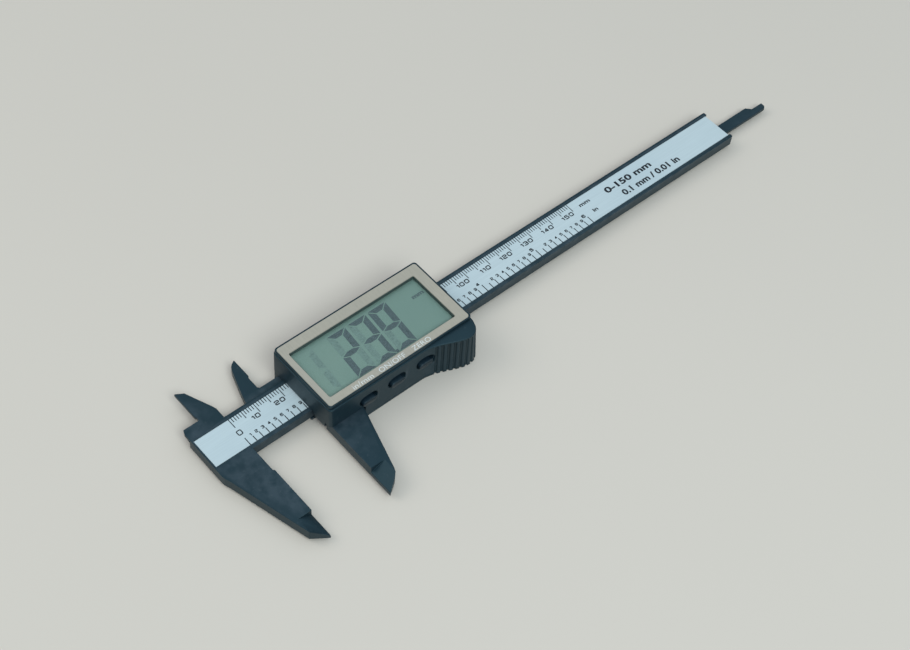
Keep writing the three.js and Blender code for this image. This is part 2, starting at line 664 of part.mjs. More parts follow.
function backScrew(name, [x, y], top) {
  const head = post(x, y, SCREW_HEAD, 0.15, 0.75);
  const shank = post(x, y, SCREW_RADIUS, 0.5, top, 12);
  const cross = [[1.1, 0.2], [0.2, 1.1]].map(([dx, dy]) => box(x - dx, x + dx, y - dy, y + dy, 0, 0.45));
  return piece(name, without(joined(head, shank), ...cross), steel());
}

// Flat rod whose narrow measuring end is level with the end of the beam when the caliper is closed.
function depthRod() {
  const tip = BEAM_RIGHT;
  const outline = polygon([
    [ROD_START, ROD_LOW_Y],
    [tip - 0.9, ROD_LOW_Y],
    [tip, ROD_LOW_Y + 0.9],
    [tip, -0.8],
    [tip - 5.2, -0.8],
    [tip - 7, ROD_HIGH_Y],
    [ROD_START, ROD_HIGH_Y],
  ]);
  const screwHole = post(ROD_SCREW[0], ROD_SCREW[1], SCREW_RADIUS + SCREW_PLAY, 0, ROD_TOP + 1, 16);
  return piece("depth_rod", without(plate(outline, ROD_BOTTOM, ROD_TOP), screwHole), blackPlastic());
}

// ---------- assembly ----------
const beam = new THREE.Group();
beam.add(beamFrame(), scaleStrip(), scaleLabel());

const slider = new THREE.Group();
slider.position.x = OPENING;
slider.add(sliderFrame(), gibStrip(), gibSpring(), sliderCase(), displayCover(), bezelPlate(), windowPane());
slider.add(lcdFrontGlass(), lcdRearGlass(), lcdCarrier(), zebraConnector());
slider.add(mainBoard(), controllerChip(), filterCapacitor(), boardScrew(0), boardScrew(1));
slider.add(buttonCell(), contactNegative(), contactPositive(), backPlate(), batteryDoor());
CASE_SCREWS.forEach((spot, i) => slider.add(backScrew(`back_screw_${i + 1}`, spot, 5)));
slider.add(depthRod(), backScrew("rod_screw", ROD_SCREW, ROD_TOP));
for (const [name, x] of Object.entries(BUTTON_XS)) {
  slider.add(button(name, x), sideSwitch(name, x));
}

const caliper = new THREE.Group();
caliper.add(beam, slider);
caliper.position.x = -(HEAD_LEFT + BEAM_RIGHT + OPENING) / 2;
caliper.position.y = -(OUTSIDE_TIP_Y + INSIDE_TIP_Y) / 2;

const part = new THREE.Group();
part.add(caliper);

export default part;
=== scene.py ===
"""Looks of a plastic digital caliper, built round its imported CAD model.

Metres, +X along the beam, +Y to the inside jaws, +Z up. Drawing sizes below are in millimetres on the
caliper's own scale: x from the zero mark, y from the beam's centreline, z from the table.
"""

import math

import bmesh
import bpy
from mathutils import Euler, Matrix, Vector


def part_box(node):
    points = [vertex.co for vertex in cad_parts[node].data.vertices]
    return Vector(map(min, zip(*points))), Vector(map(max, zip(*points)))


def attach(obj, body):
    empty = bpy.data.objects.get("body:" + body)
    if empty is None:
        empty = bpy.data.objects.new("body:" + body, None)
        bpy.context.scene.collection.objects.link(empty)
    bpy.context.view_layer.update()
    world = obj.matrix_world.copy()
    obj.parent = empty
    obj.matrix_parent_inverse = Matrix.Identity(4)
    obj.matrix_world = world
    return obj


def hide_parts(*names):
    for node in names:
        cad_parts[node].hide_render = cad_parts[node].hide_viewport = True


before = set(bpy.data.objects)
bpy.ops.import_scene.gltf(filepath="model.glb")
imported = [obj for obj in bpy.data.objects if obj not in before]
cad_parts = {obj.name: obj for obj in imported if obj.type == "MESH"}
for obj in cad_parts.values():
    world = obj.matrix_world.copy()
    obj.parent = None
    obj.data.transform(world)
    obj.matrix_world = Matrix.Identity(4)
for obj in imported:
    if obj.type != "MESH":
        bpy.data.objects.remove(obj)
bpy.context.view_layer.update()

MM = 0.001

# Camera
CAMERA_PLACE = (-0.28389, -0.24196, 0.46372)
CAMERA_TURN_DEG = (37.0892, -3.7583, -40.9189)
CAMERA_LENS_MM = 67.08
SENSOR_MM = 36.0
CAMERA_SHIFT = (-0.00055, 0.00055)

# Places on the caliper's own scale
LABEL_LEFT = -13.55
LABEL_HALF = 6.1
label_low, label_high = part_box("scale_label")
ZERO_X = label_low.x - LABEL_LEFT * MM
ZERO_Y = (label_low.y + label_high.y) / 2
LABEL_TOP = label_high.z / MM
BEZEL_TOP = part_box("bezel_plate")[1].z / MM
LCD_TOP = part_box("lcd_front_glass")[1].z / MM
INK_THICK = 0.012
CAPITAL = 0.729  # height of a capital in lettering of size 1


def at(x, y, z):
    """A point of the caliper's own scale, in metres in the shared frame."""
    return Vector((ZERO_X + x * MM, ZERO_Y + y * MM, z * MM))


# ---------- materials ----------
DUST = (150, 155, 158)  # colour of the specks on the plastic


def linear(rgb):
    """Screen colour, 0 to 255, as the linear values that shaders use."""
    return tuple((c / 255 / 12.92) if c / 255 < 0.04045 else ((c / 255 + 0.055) / 1.055) ** 2.4 for c in rgb)


class Shader:
    """A Principled material with a few helpers for its node tree."""

    def __init__(self, name, rgb, roughness, **inputs):
        self.material = bpy.data.materials.new(name)
        self.material.use_nodes = True
        self.tree = self.material.node_tree
        self.bsdf = self.tree.nodes["Principled BSDF"]
        self.place = self.add("ShaderNodeTexCoord").outputs["Object"]
        self.colour = linear(rgb)
        self.bsdf.inputs["Base Color"].default_value = (*self.colour, 1)
        self.bsdf.inputs["Roughness"].default_value = roughness
        for key, value in inputs.items():
            self.bsdf.inputs[key.replace("_", " ")].default_value = value

    def add(self, kind, **settings):
        node = self.tree.nodes.new(kind)
        for key, value in settings.items():
            setattr(node, key, value)
        return node

    def link(self, output, target):
        self.tree.links.new(output, target)

    def stretched(self, scale):
        """Object coordinates, scaled by a different factor along each axis."""
        node = self.add("ShaderNodeMapping")
        node.inputs["Scale"].default_value = scale
        self.link(self.place, node.inputs["Vector"])
        return node.outputs["Vector"]

    def noise(self, scale, detail=3.0, place=None):
        node = self.add("ShaderNodeTexNoise")
        node.inputs["Scale"].default_value = scale
        node.inputs["Detail"].default_value = detail
        self.link(place or self.place, node.inputs["Vector"])
        return node.outputs["Fac"]

    def ramp(self, value, low, high, out_low, out_high):
        node = self.add("ShaderNodeMapRange")
        for key, number in zip(("From Min", "From Max", "To Min", "To Max"), (low, high, out_low, out_high)):
            node.inputs[key].default_value = number
        self.link(value, node.inputs["Value"])
        return node.outputs["Result"]

    def mix(self, factor, a, b):
        node = self.add("ShaderNodeMix", data_type="RGBA")
        for index, colour in ((6, a), (7, b)):
            if isinstance(colour, tuple):
                node.inputs[index].default_value = (*colour, 1)
            else:
                self.link(colour, node.inputs[index])
        self.link(factor, node.inputs[0])
        return node.outputs[2]

    def mottled(self, value, low, high):
        """The base colour times low where the value is small, and times high where it is large."""
        dark, light = (tuple(factor * c for c in self.colour) for factor in (low, high))
        return self.mix(self.ramp(value, 0.3, 0.7, 0, 1), dark, light)

    def bump(self, height, distance, strength=1.0, under=None):
        node = self.add("ShaderNodeBump")
        node.inputs["Strength"].default_value = strength
        node.inputs["Distance"].default_value = distance
        self.link(height, node.inputs["Height"])
        if under is not None:
            self.link(under, node.inputs["Normal"])
        return node.outputs["Normal"]

    def finish(self, colour=None, roughness=None, normal=None):
        for source, key in ((colour, "Base Color"), (roughness, "Roughness"), (normal, "Normal")):
            if source is not None:
                self.link(source, self.bsdf.inputs[key])
        return self.material


def moulded_plastic(name, rgb, roughness, grain=0.006, edge_wear_and_highlight_rgb=(70, 80, 88), dust=0.05, edge_wear_and_highlight_most=0.5):
    """Injection-moulded plastic: fine spark-eroded grain, faint flow marks, dust, and a lighter colour on
    sharp edges that is rubbed wear on most parts and a painted highlight on the button caps.
    """
    shader = Shader(name, rgb, roughness, Specular_IOR_Level=0.36, Specular_Tint=(0.6, 0.93, 1.0, 1))
    flow = shader.noise(45, 4)
    fine = shader.noise(2600, 2)
    specks = shader.ramp(shader.noise(900, 6), 0.62, 0.74, 0.0, 1.0)
    tone = shader.mottled(flow, 0.86, 1.14)
    # Sharp convex edges take a lighter colour: rubbed wear on most parts, a painted highlight on the button
    # caps.
    pointed = shader.add("ShaderNodeNewGeometry").outputs["Pointiness"]
    edge_wear_and_highlight_mask = shader.add("ShaderNodeMath", operation="MULTIPLY")
    shader.link(shader.ramp(pointed, 0.53, 0.62, 0, edge_wear_and_highlight_most), edge_wear_and_highlight_mask.inputs[0])
    shader.link(shader.ramp(shader.noise(300, 4), 0.35, 0.65, 0.2, 1), edge_wear_and_highlight_mask.inputs[1])
    tone = shader.mix(edge_wear_and_highlight_mask.outputs[0], tone, linear(edge_wear_and_highlight_rgb))
    dusty = shader.add("ShaderNodeMath", operation="MULTIPLY")
    shader.link(specks, dusty.inputs[0])
    dusty.inputs[1].default_value = dust
    tone = shader.mix(dusty.outputs[0], tone, linear(DUST))
    rough = shader.ramp(flow, 0.3, 0.7, roughness - 0.05, roughness + 0.06)
    scuffs = shader.noise(1, 3, shader.stretched((160, 2400, 2400)))
    normal = shader.bump(scuffs, 0.004 * MM, 0.6)
    normal = shader.bump(fine, grain * MM, 1.0, normal)
    return shader.finish(tone, rough, normal)


def label_foil():
    """Pale satin film with a hair-fine brushed grain along the beam."""
    shader = Shader("label_foil", (191, 204, 207), 0.42, Specular_IOR_Level=0.4)
    brushed = shader.noise(1, 4, shader.stretched((60, 2600, 400)))
    cloud = shader.noise(25, 3)
    tone = shader.mottled(brushed, 0.95, 1.04)
    tone = shader.mix(shader.ramp(cloud, 0.35, 0.7, 0, 0.25), tone, linear((160, 180, 188)))
    rough = shader.ramp(brushed, 0.3, 0.7, 0.36, 0.5)
    return shader.finish(tone, rough, shader.bump(brushed, 0.002 * MM))


def bezel_print():
    """Warm silver print on the back of clear film."""
    shader = Shader("silver_print", (174, 166, 150), 0.38, Metallic=0.15)
    weave = shader.noise(1, 2, shader.stretched((2200, 300, 300)))
    cloud = shader.noise(40, 3)
    tone = shader.mottled(weave, 0.95, 1.05)
    tone = shader.mix(shader.ramp(cloud, 0.35, 0.7, 0, 0.2), tone, linear((150, 150, 146)))
    return shader.finish(tone, shader.ramp(cloud, 0.3, 0.7, 0.32, 0.45), shader.bump(weave, 0.002 * MM))


def lcd_surface():
    """Grey-green reflective layer of the display, a little mottled."""
    shader = Shader("lcd_surface", (118, 146, 141), 0.35, Specular_IOR_Level=0.3)
    cloud = shader.noise(30, 3)
    fine = shader.noise(1800, 2)
    tone = shader.mix(shader.ramp(cloud, 0.3, 0.7, 0, 1), linear((121, 149, 138)), linear((129, 155, 142)))
    tone = shader.mix(shader.ramp(fine, 0.3, 0.7, 0, 0.15), tone, linear((140, 160, 152)))
    return shader.finish(tone, None, shader.bump(fine, 0.001 * MM))


def ink(name, rgb, roughness=0.5):
    """Screen print with slightly uneven cover; the same finish carries the painted shade on the window's
    walls.
    """
    shader = Shader(name, rgb, roughness)
    cover = shader.noise(1500, 3)
    tone = shader.mottled(cover, 0.85, 1.15)
    return shader.finish(tone, shader.ramp(cover, 0.3, 0.7, roughness - 0.08, roughness + 0.08))


def clear_pane():
    """Clear acrylic window with a few hairline scuffs."""
    shader = Shader("clear_pane", (40, 52, 50), 0.06, Alpha=0.06)
    scuffs = shader.noise(1, 4, shader.stretched((1500, 120, 120)))
    return shader.finish(None, shader.ramp(scuffs, 0.55, 0.75, 0.05, 0.2), None)


def metal(name, rgb, roughness):
    """Bright metal with fine turning marks."""
    shader = Shader(name, rgb, roughness, Metallic=1.0)
    marks = shader.noise(1, 3, shader.stretched((500, 500, 6000)))
    tone = shader.mottled(marks, 0.85, 1.1)
    return shader.finish(tone, shader.ramp(marks, 0.3, 0.7, roughness - 0.08, roughness + 0.12),
                         shader.bump(marks, 0.003 * MM))


def circuit_board():
    """Green lacquered board with its copper showing through as a faint pattern."""
    shader = Shader("circuit_board", (40, 88, 58), 0.4)
    tracks = shader.noise(1, 2, shader.stretched((900, 160, 160)))
    tone = shader.mix(shader.ramp(tracks, 0.45, 0.55, 0, 1), shader.colour, linear((62, 116, 74)))
    return shader.finish(tone, None, shader.bump(tracks, 0.01 * MM))


BLACK = moulded_plastic("black_plastic", (25, 42, 50), 0.42)
SOFT_BLACK = moulded_plastic("soft_black", (18, 24, 31), 0.45, 0.008)
# On the button caps the pale edge colour, given a large share, is a painted highlight along their rounded
# edges.
CAP_BLACK = moulded_plastic("cap_black", (16, 30, 40), 0.36, 0.006, (140, 152, 160), edge_wear_and_highlight_most=0.8)
FOIL = label_foil()
SILVER = bezel_print()
CRYSTAL = lcd_surface()
PANE = clear_pane()
STEEL = metal("steel", (184, 186, 189), 0.3)
BRONZE = metal("spring_bronze", (184, 138, 74), 0.32)
BOARD = circuit_board()
LABEL_INK = ink("label_ink", (8, 18, 26))
WHITE_INK = ink("white_ink", (212, 216, 214))
SEGMENT_INK = ink("segment_ink", (84, 100, 101), 0.35)
# Grey-green of the display's shaded edge, put on the window's walls: painted shade.
WINDOW_SHADE_PAINT = ink("painted_window_shade", (66, 82, 78), 0.7)
GHOST_INK = ink("ghost_ink", (116, 141, 132), 0.35)


# ---------- pieces made from the frame ----------
WELD = 0.002  # points closer than this are one point
FLAT_DEG = 0.5  # faces that turn less than this are one face


def refined(node, material, width, body, segments=3, sharp_deg=30.0):
    """A detailed stand-in for a CAD node: flat faces merged, every edge rounded by the given width in mm."""
    piece = bpy.data.objects.new(node + "_detail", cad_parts[node].data.copy())
    bpy.context.scene.collection.objects.link(piece)
    shape = bmesh.new()
    shape.from_mesh(piece.data)
    bmesh.ops.remove_doubles(shape, verts=shape.verts, dist=WELD * MM)
    bmesh.ops.dissolve_limit(shape, angle_limit=math.radians(FLAT_DEG), verts=shape.verts, edges=shape.edges)
    layer = shape.edges.layers.float.new("bevel_weight_edge")
    for edge in shape.edges:
        if len(edge.link_faces) == 2 and edge.calc_face_angle(0) >= math.radians(sharp_deg):
            edge[layer] = 1.0
    shape.to_mesh(piece.data)
    shape.free()
    rounding = piece.modifiers.new("rounded_edges", "BEVEL")
    rounding.width = width * MM
    rounding.segments = segments
    rounding.limit_method = "WEIGHT"
    rounding.use_clamp_overlap = False
    rounding.harden_normals = True
    piece.data.materials.clear()
    piece.data.materials.append(material)
    piece.data.shade_smooth()
    piece.data.set_sharp_from_angle(angle=math.radians(sharp_deg))
    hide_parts(node)
    return placed(piece, body)


def placed(piece, body):
    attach(piece, body)
    return piece


def mesh_piece(name, shape, material, body):
    """Turns a bmesh into a named piece that rides on a body."""
    bmesh.ops.recalc_face_normals(shape, faces=shape.faces)
    data = bpy.data.meshes.new(name)
    shape.to_mesh(data)
    shape.free()
    data.materials.append(material)
    piece = bpy.data.objects.new(name, data)
    bpy.context.scene.collection.objects.link(piece)
    return placed(piece, body)


def add_prism(shape, outline, bottom, top):
    """Adds an upright prism to a bmesh; the outline is a list of (x, y) on the caliper's own scale."""
    low = [shape.verts.new(at(x, y, bottom)) for x, y in outline]
    high = [shape.verts.new(at(x, y, top)) for x, y in outline]
    shape.faces.new(low[::-1])
    shape.faces.new(high)
    for i in range(len(outline)):
        j = (i + 1) % len(outline)
        shape.faces.new((low[i], low[j], high[j], high[i]))


def add_text(shape, z, text, x, y, height, stretch, bold):
    """Adds lettering to a bmesh. x, y is where its foot starts; height is that of a capital."""
    curve = bpy.data.curves.new("lettering", "FONT")
    curve.body = text
    curve.size = height / CAPITAL
    curve.offset = bold
    curve.extrude = INK_THICK / 2
    curve.resolution_u = 3
    holder = bpy.data.objects.new("lettering", curve)
    bpy.context.scene.collection.objects.link(holder)
    bpy.context.view_layer.update()
    data = bpy.data.meshes.new_from_object(holder.evaluated_get(bpy.context.evaluated_depsgraph_get()))
    place = Matrix.Translation(at(x, y, z + INK_THICK / 2)) @ Matrix.Diagonal((stretch * MM, MM, MM, 1))
    data.transform(place)
    shape.from_mesh(data)
    bpy.data.objects.remove(holder)
    bpy.data.curves.remove(curve)
    bpy.data.meshes.remove(data)


# ---------- slider case ----------
CASE_X0 = 23.2
CASE_X1 = 84.1
CASE_Y0 = -17.8
CASE_Y1 = 13.0
CASE_BOTTOM = 1.3
CASE_TOP = 15.5
CASE_CORNER = 1.3
GRIP_START = 62.4
GRIP_PEAK = (78.7, -22.85)
GRIP_END_Y = -14.5
RIB_FIRST_X = 67.1
RIB_COUNT = 10
RIB_PITCH = 2.17
RIB_DEPTH = 0.55
RIB_HALF = 0.5
BUTTON_XS = (39.1, 51.0, 63.1)
SLOT_Z = 9.45
SLOT_LENGTH = 7.4
SLOT_HEIGHT = 4.5
WALL = 1.6
ROOF = 1.9
FRONT_LEAN, RIGHT_LEAN, SHOULDER_LEAN = 0.4, 0.3, 1.8  # drawn in from the bottom to the top
SHOULDER = 4.2
# Handles of the two curves that shape the grip
SWELL_FOOT, SWELL_DROP, SWELL_CREST, FALL_END = 5.8, 0.25, 4.3, 1.9
CORNER_STEPS, FRONT_STEPS, SWELL_STEPS, FALL_STEPS = 8, 20, 170, 110
OVAL_STEPS = 14
CASE_SHARP_DEG = 35
PAST = 1  # how far a cutter reaches past what it cuts


def bezier(a, b, c, d, steps):
    """Points along a cubic curve, without its first one."""
    points = []
    for i in range(1, steps + 1):
        t = i / steps
        weights = ((1 - t) ** 3, 3 * t * (1 - t) ** 2, 3 * t * t * (1 - t), t ** 3)
        points.append(tuple(sum(w * p[k] for w, p in zip(weights, (a, b, c, d))) for k in (0, 1)))
    return points


def arc(cx, cy, radius, start_deg, end_deg, steps):
    angles = [math.radians(start_deg + (end_deg - start_deg) * i / steps) for i in range(steps + 1)]
    return [(cx + radius * math.cos(a), cy + radius * math.sin(a)) for a in angles]


def case_outline(lean):
    """The case seen from above, anticlockwise from its front left corner.

    lean is 0 at its bottom and 1 at its top.
    """
    r = CASE_CORNER
    front = CASE_Y0 + FRONT_LEAN * lean
    right = CASE_X1 - RIGHT_LEAN * lean
    px, py = GRIP_PEAK[0], GRIP_PEAK[1] + FRONT_LEAN * lean
    shoulder = SHOULDER - SHOULDER_LEAN * lean
    points = arc(CASE_X0 + r, front + r, r, 180, 270, CORNER_STEPS)
    points += [(CASE_X0 + r + (GRIP_START - CASE_X0 - r) * i / FRONT_STEPS, front)
               for i in range(1, FRONT_STEPS + 1)]
    points += bezier((GRIP_START, front), (GRIP_START + SWELL_FOOT, front - SWELL_DROP),
                     (px - SWELL_CREST, py), (px, py), SWELL_STEPS)
    points += bezier((px, py), (px + shoulder, py), (right, py + FALL_END), (right, GRIP_END_Y), FALL_STEPS)
    points += arc(right - r, CASE_Y1 - r, r, 0, 90, CORNER_STEPS)
    points += arc(CASE_X0 + r, CASE_Y1 - r, r, 90, 180, CORNER_STEPS)
    return points


def inward_normals(points):
    normals = []
    for i in range(len(points)):
        (ax, ay), (bx, by) = points[i - 1], points[(i + 1) % len(points)]
        length = math.hypot(bx - ax, by - ay)
        normals.append((-(by - ay) / length, (bx - ax) / length))
    return normals


def rib_depths(points):
    """How far each outline point is sunk by the grooves between the grip's ribs."""
    run = [0.0]
    for (ax, ay), (bx, by) in zip(points, points[1:]):
        run.append(run[-1] + math.hypot(bx - ax, by - ay))
    first = next(i for i, (x, y) in enumerate(points) if x > RIB_FIRST_X and y < CASE_Y0)
    centres = [run[first] + i * RIB_PITCH for i in range(RIB_COUNT)]
    return [RIB_DEPTH * max(math.exp(-((s - c) / RIB_HALF) ** 4) for c in centres) for s in run]


def add_loft(shape, rings):
    """Joins closed rings of points into a solid with flat ends."""
    made = [[shape.verts.new(at(*point)) for point in ring] for ring in rings]
    for low, high in zip(made, made[1:]):
        for i in range(len(low)):
            j = (i + 1) % len(low)
            shape.faces.new((low[i], low[j], high[j], high[i]))
    shape.faces.new(made[0][::-1])
    shape.faces.new(made[-1])


def add_block(shape, x0, x1, y0, y1, z0, z1):
    add_loft(shape, [[(x0, y0, z), (x1, y0, z), (x1, y1, z), (x0, y1, z)] for z in (z0, z1)])


def oval_ring(x, z, length, height, y):
    """A round-ended bar in an upright plane, seen from the front."""
    r = height / 2
    half = length / 2 - r
    turns = arc(x + half, z, r, -90, 90, OVAL_STEPS) + arc(x - half, z, r, 90, 270, OVAL_STEPS)
    return [(px, y, pz) for px, pz in turns]


# A slot's mouth: depth behind the front wall's face, and how much wider the slot is there all round
SLOT_RINGS = ((-6.0, 0.2), (0.16, 0.2), (0.24, 0.12), (0.34, 0.05), (0.48, 0.0), (2.8, 0.0))


def slot_cutter(shape, x):
    """Button slot through the front wall, with a softly rounded mouth."""
    add_loft(shape, [oval_ring(x, SLOT_Z, SLOT_LENGTH + 2 * grow, SLOT_HEIGHT + 2 * grow, CASE_Y0 + depth)
                     for depth, grow in SLOT_RINGS])


def solid_from(name, shape):
    bmesh.ops.recalc_face_normals(shape, faces=shape.faces)
    data = bpy.data.meshes.new(name)
    shape.to_mesh(data)
    shape.free()
    piece = bpy.data.objects.new(name, data)
    bpy.context.scene.collection.objects.link(piece)
    return piece


def cut_away(piece, cutters):
    """Subtracts each cutter from the piece and keeps the result as its mesh."""
    for cutter in cutters:
        cut = piece.modifiers.new("cut", "BOOLEAN")
        cut.operation = "DIFFERENCE"
        cut.solver = "EXACT"
        cut.object = cutter
    bpy.context.view_layer.update()
    result = bpy.data.meshes.new_from_object(piece.evaluated_get(bpy.context.evaluated_depsgraph_get()))
    piece.modifiers.clear()
    old = piece.data
    piece.data = result
    bpy.data.meshes.remove(old)
    for cutter in cutters:
        bpy.data.objects.remove(cutter)


# Levels of the outer skin: height, inset of the rounded top edge, and how deep the grooves are
CASE_LEVELS = (
    (CASE_BOTTOM, 0, 1), (CASE_TOP - 0.95, 0, 1), (CASE_TOP - 0.75, 0, 0.75), (CASE_TOP - 0.6, 0, 0.3),
    (CASE_TOP - 0.5, 0, 0), (CASE_TOP - 0.3, 0, 0), (CASE_TOP - 0.16, 0.04, 0), (CASE_TOP - 0.05, 0.13, 0),
    (CASE_TOP, 0.28, 0),
)


def case_rings():
    """The outer skin, from the bottom edge up to the rounded top edge."""
    low, high = case_outline(0), case_outline(1)
    normals = inward_normals(low)
    depths = rib_depths(low)
    rings = []
    for z, inset, ribs in CASE_LEVELS:
        rise = (z - CASE_BOTTOM) / (CASE_TOP - CASE_BOTTOM)
        ring = []
        for (ax, ay), (bx, by), (nx, ny), depth in zip(low, high, normals, depths):
            sunk = inset + depth * ribs
            ring.append((ax + (bx - ax) * rise + nx * sunk, ay + (by - ay) * rise + ny * sunk, z))
        rings.append(ring)
    return rings


# Blocks taken out of the case: x0, x1, y0, y1, z0, z1
CASE_CUTS = {
    "hollow": (CASE_X0 + WALL, CASE_X1 - WALL, CASE_Y0 + WALL, CASE_Y1 - WALL, 0, CASE_TOP - ROOF),
    "beam way": (CASE_X0 - PAST, CASE_X1 + PAST, -7.85, 7.85, 0, 6),
    "display opening": (25.0, 80.9, -15.4, 10.2, 10, CASE_TOP + PAST),
    "jaw way": (CASE_X0 - PAST, 37.8, CASE_Y0 - PAST, -14, 0, 6.65),
    "strap way": (CASE_X0 - PAST, 26.5, 0, 10.8, 0, 4.6),
    "rail window": (CASE_X0 - PAST, 24.9, -14.5, -7.8, 0, 3.2),
    "head way": (CASE_X0 - PAST, 23.7, CASE_Y0 - PAST, CASE_Y1 + PAST, 0, 6.02),
}


def block_cutter(*limits):
    shape = bmesh.new()
    add_block(shape, *limits)
    return shape


def slider_case():
    shape = bmesh.new()
    add_loft(shape, case_rings())
    piece = solid_from("slider_case_detail", shape)
    pockets = bmesh.new()
    for x in BUTTON_XS:
        slot_cutter(pockets, x)
    cutters = [block_cutter(*limits) for limits in CASE_CUTS.values()]
    cutters.insert(1, pockets)
    cut_away(piece, [solid_from("cutter", cutter) for cutter in cutters])
    piece.data.materials.append(BLACK)
    piece.data.shade_smooth()
    piece.data.set_sharp_from_angle(angle=math.radians(CASE_SHARP_DEG))
    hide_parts("slider_case")
    return placed(piece, "slider")


# ---------- scale ----------
MM_RANGE = 150
TENTHS = 60
TENTH = 2.54
TICK_HALF = 0.15
TENTH_TICK_HALF = TICK_HALF * 1.1
EDGE_GAP = 0.02  # between the marks and the label's edge
# How far in the marks reach
TEN_MM_Y, FIVE_MM_Y, ONE_MM_Y = 2.2, 3.1, 4.2
INCH_Y, TENTH_Y = -2.8, -3.7


def scale_marks():
    shape = bmesh.new()

    def tick(x, y0, y1, half):
        add_prism(shape, [(x - half, y0), (x + half, y0), (x + half, y1), (x - half, y1)], LABEL_TOP,
                  LABEL_TOP + INK_THICK)

    for millimetre in range(MM_RANGE + 1):
        inner = TEN_MM_Y if millimetre % 10 == 0 else FIVE_MM_Y if millimetre % 5 == 0 else ONE_MM_Y
        tick(millimetre, inner, LABEL_HALF - EDGE_GAP, TICK_HALF)
    for tenth in range(TENTHS + 1):
        inner = INCH_Y if tenth % 10 == 0 else TENTH_Y
        tick(tenth * TENTH, -LABEL_HALF + EDGE_GAP, inner, TENTH_TICK_HALF)
    return mesh_piece("scale_marks", shape, LABEL_INK, "beam")


# Lettering: text, left edge, foot, height of a capital, stretch, boldness
LABEL_ROWS = (
    ("mm", 153.5, 2.1, 1.6, 1.5, 0.07),
    ("in", 156.0, -2.6, 1.55, 1.5, 0.07),
    ("0-150 mm", 166.0, 0.8, 2.65, 1.52, 0.13),
    ("0.1 mm / 0.01 in", 170.6, -3.8, 2.65, 1.2, 0.13),
)

# Numbers: how far the right edge is past the mark, foot, width and height of a numeral, half a stroke
TENS_STYLE = (-0.55, 0.8, 1.8, 1.82, 0.2)
ORIGIN_STYLE = (0.97, -1.2, 1.96, 2.15, 0.19)
INCH_STYLE = (-0.35, -2.5, 1.45, 1.5, 0.19)
TENTH_STYLE = (0.04, -3.55, 1.1, 1.26, 0.15)

# Wide square numerals: the centre lines of the strokes, in a cell one unit wide and one unit high.
# Each stroke is a list of corners and whether it closes on itself.
NUMERALS = {
    "0": (([(0, 0), (1, 0), (1, 1), (0, 1)], True),),
    "1": (([(0, 0.78), (0.42, 1), (0.42, 0)], False),),
    "2": (([(0, 0.76), (0, 1), (1, 1), (1, 0.52), (0, 0.46), (0, 0), (1, 0)], False),),
    "3": (([(0, 0.8), (0, 1), (1, 1), (1, 0), (0, 0), (0, 0.2)], False), ([(0.3, 0.52), (1, 0.52)], False)),
    "4": (([(0.74, 0), (0.74, 1), (0, 0.26), (1, 0.26)], False),),
    "5": (([(1, 1), (0, 1), (0, 0.58), (1, 0.58), (1, 0), (0, 0), (0, 0.2)], False),),
    "6": (([(1, 0.8), (1, 1), (0, 1), (0, 0), (1, 0), (1, 0.58), (0, 0.58)], False),),
    "7": (([(0, 1), (1, 1), (0.36, 0)], False),),
    "8": (([(0, 0), (1, 0), (1, 1), (0, 1)], True), ([(0, 0.52), (1, 0.52)], False)),
    "9": (([(0, 0.2), (0, 0), (1, 0), (1, 1), (0, 1), (0, 0.42), (1, 0.42)], False),),
}
NARROW = 0.42  # width of the numeral 1, as a share of the others
SPACING = 0.2  # gap between numerals, as a share of their width
ROUNDING = 0.2  # radius of their corners, as a share of their height
MOST_OF_SIDE = 0.45  # a corner takes no more of a side than this
BENDS = (0, 0.33, 0.67, 1)


def rounded(corners, radius, closed):
    """Replaces every corner of a line by a small arc."""
    count = len(corners)
    points = []
    for i, corner in enumerate(corners):
        if not closed and i in (0, count - 1):
            points.append(Vector(corner))
            continue
        here = Vector(corner)
        before = Vector(corners[i - 1]) - here
        after = Vector(corners[(i + 1) % count]) - here
        start = here + before.normalized() * min(radius, before.length * MOST_OF_SIDE)
        end = here + after.normalized() * min(radius, after.length * MOST_OF_SIDE)
        for t in BENDS:
            points.append(start * (1 - t) ** 2 + here * 2 * t * (1 - t) + end * t ** 2)
    return points


def add_stroke(shape, points, half, bottom, closed):
    """Adds a flat ribbon of ink that follows a line."""
    count = len(points)
    rings = []
    for i, point in enumerate(points):
        before = points[i - 1] if closed or i > 0 else point
        after = points[(i + 1) % count] if closed or i < count - 1 else point
        into = (point - before).normalized() if before != point else (after - point).normalized()
        out = (after - point).normalized() if after != point else into
        along = (into + out).normalized()
        side = Vector((-along.y, along.x)) * half / max(along.dot(into), 0.5)
        left, right = point + side, point - side
        rings.append([shape.verts.new(at(*place, z)) for place, z in (
            (left, bottom), (right, bottom), (right, bottom + INK_THICK), (left, bottom + INK_THICK))])
    pairs = zip(rings, rings[1:] + rings[:1]) if closed else zip(rings, rings[1:])
    for ring, following in pairs:
        for i in range(4):
            j = (i + 1) % 4
            shape.faces.new((ring[i], ring[j], following[j], following[i]))
    if not closed:
        shape.faces.new(rings[0][::-1])
        shape.faces.new(rings[-1])


def add_numerals(shape, text, mark, style):
    """Adds a number beside the mark that it belongs to."""
    shift, y, width, height, half = style
    right = mark + shift
    gap = width * SPACING
    reach = width - 2 * half
    rise = height - 2 * half
    for character in reversed(text):
        left = right - (reach * NARROW if character == "1" else reach) - half
        for corners, closed in NUMERALS[character]:
            line = [(left + px * reach, y + half + py * rise) for px, py in corners]
            add_stroke(shape, rounded(line, height * ROUNDING, closed), half, LABEL_TOP, closed)
        right = left - half - gap


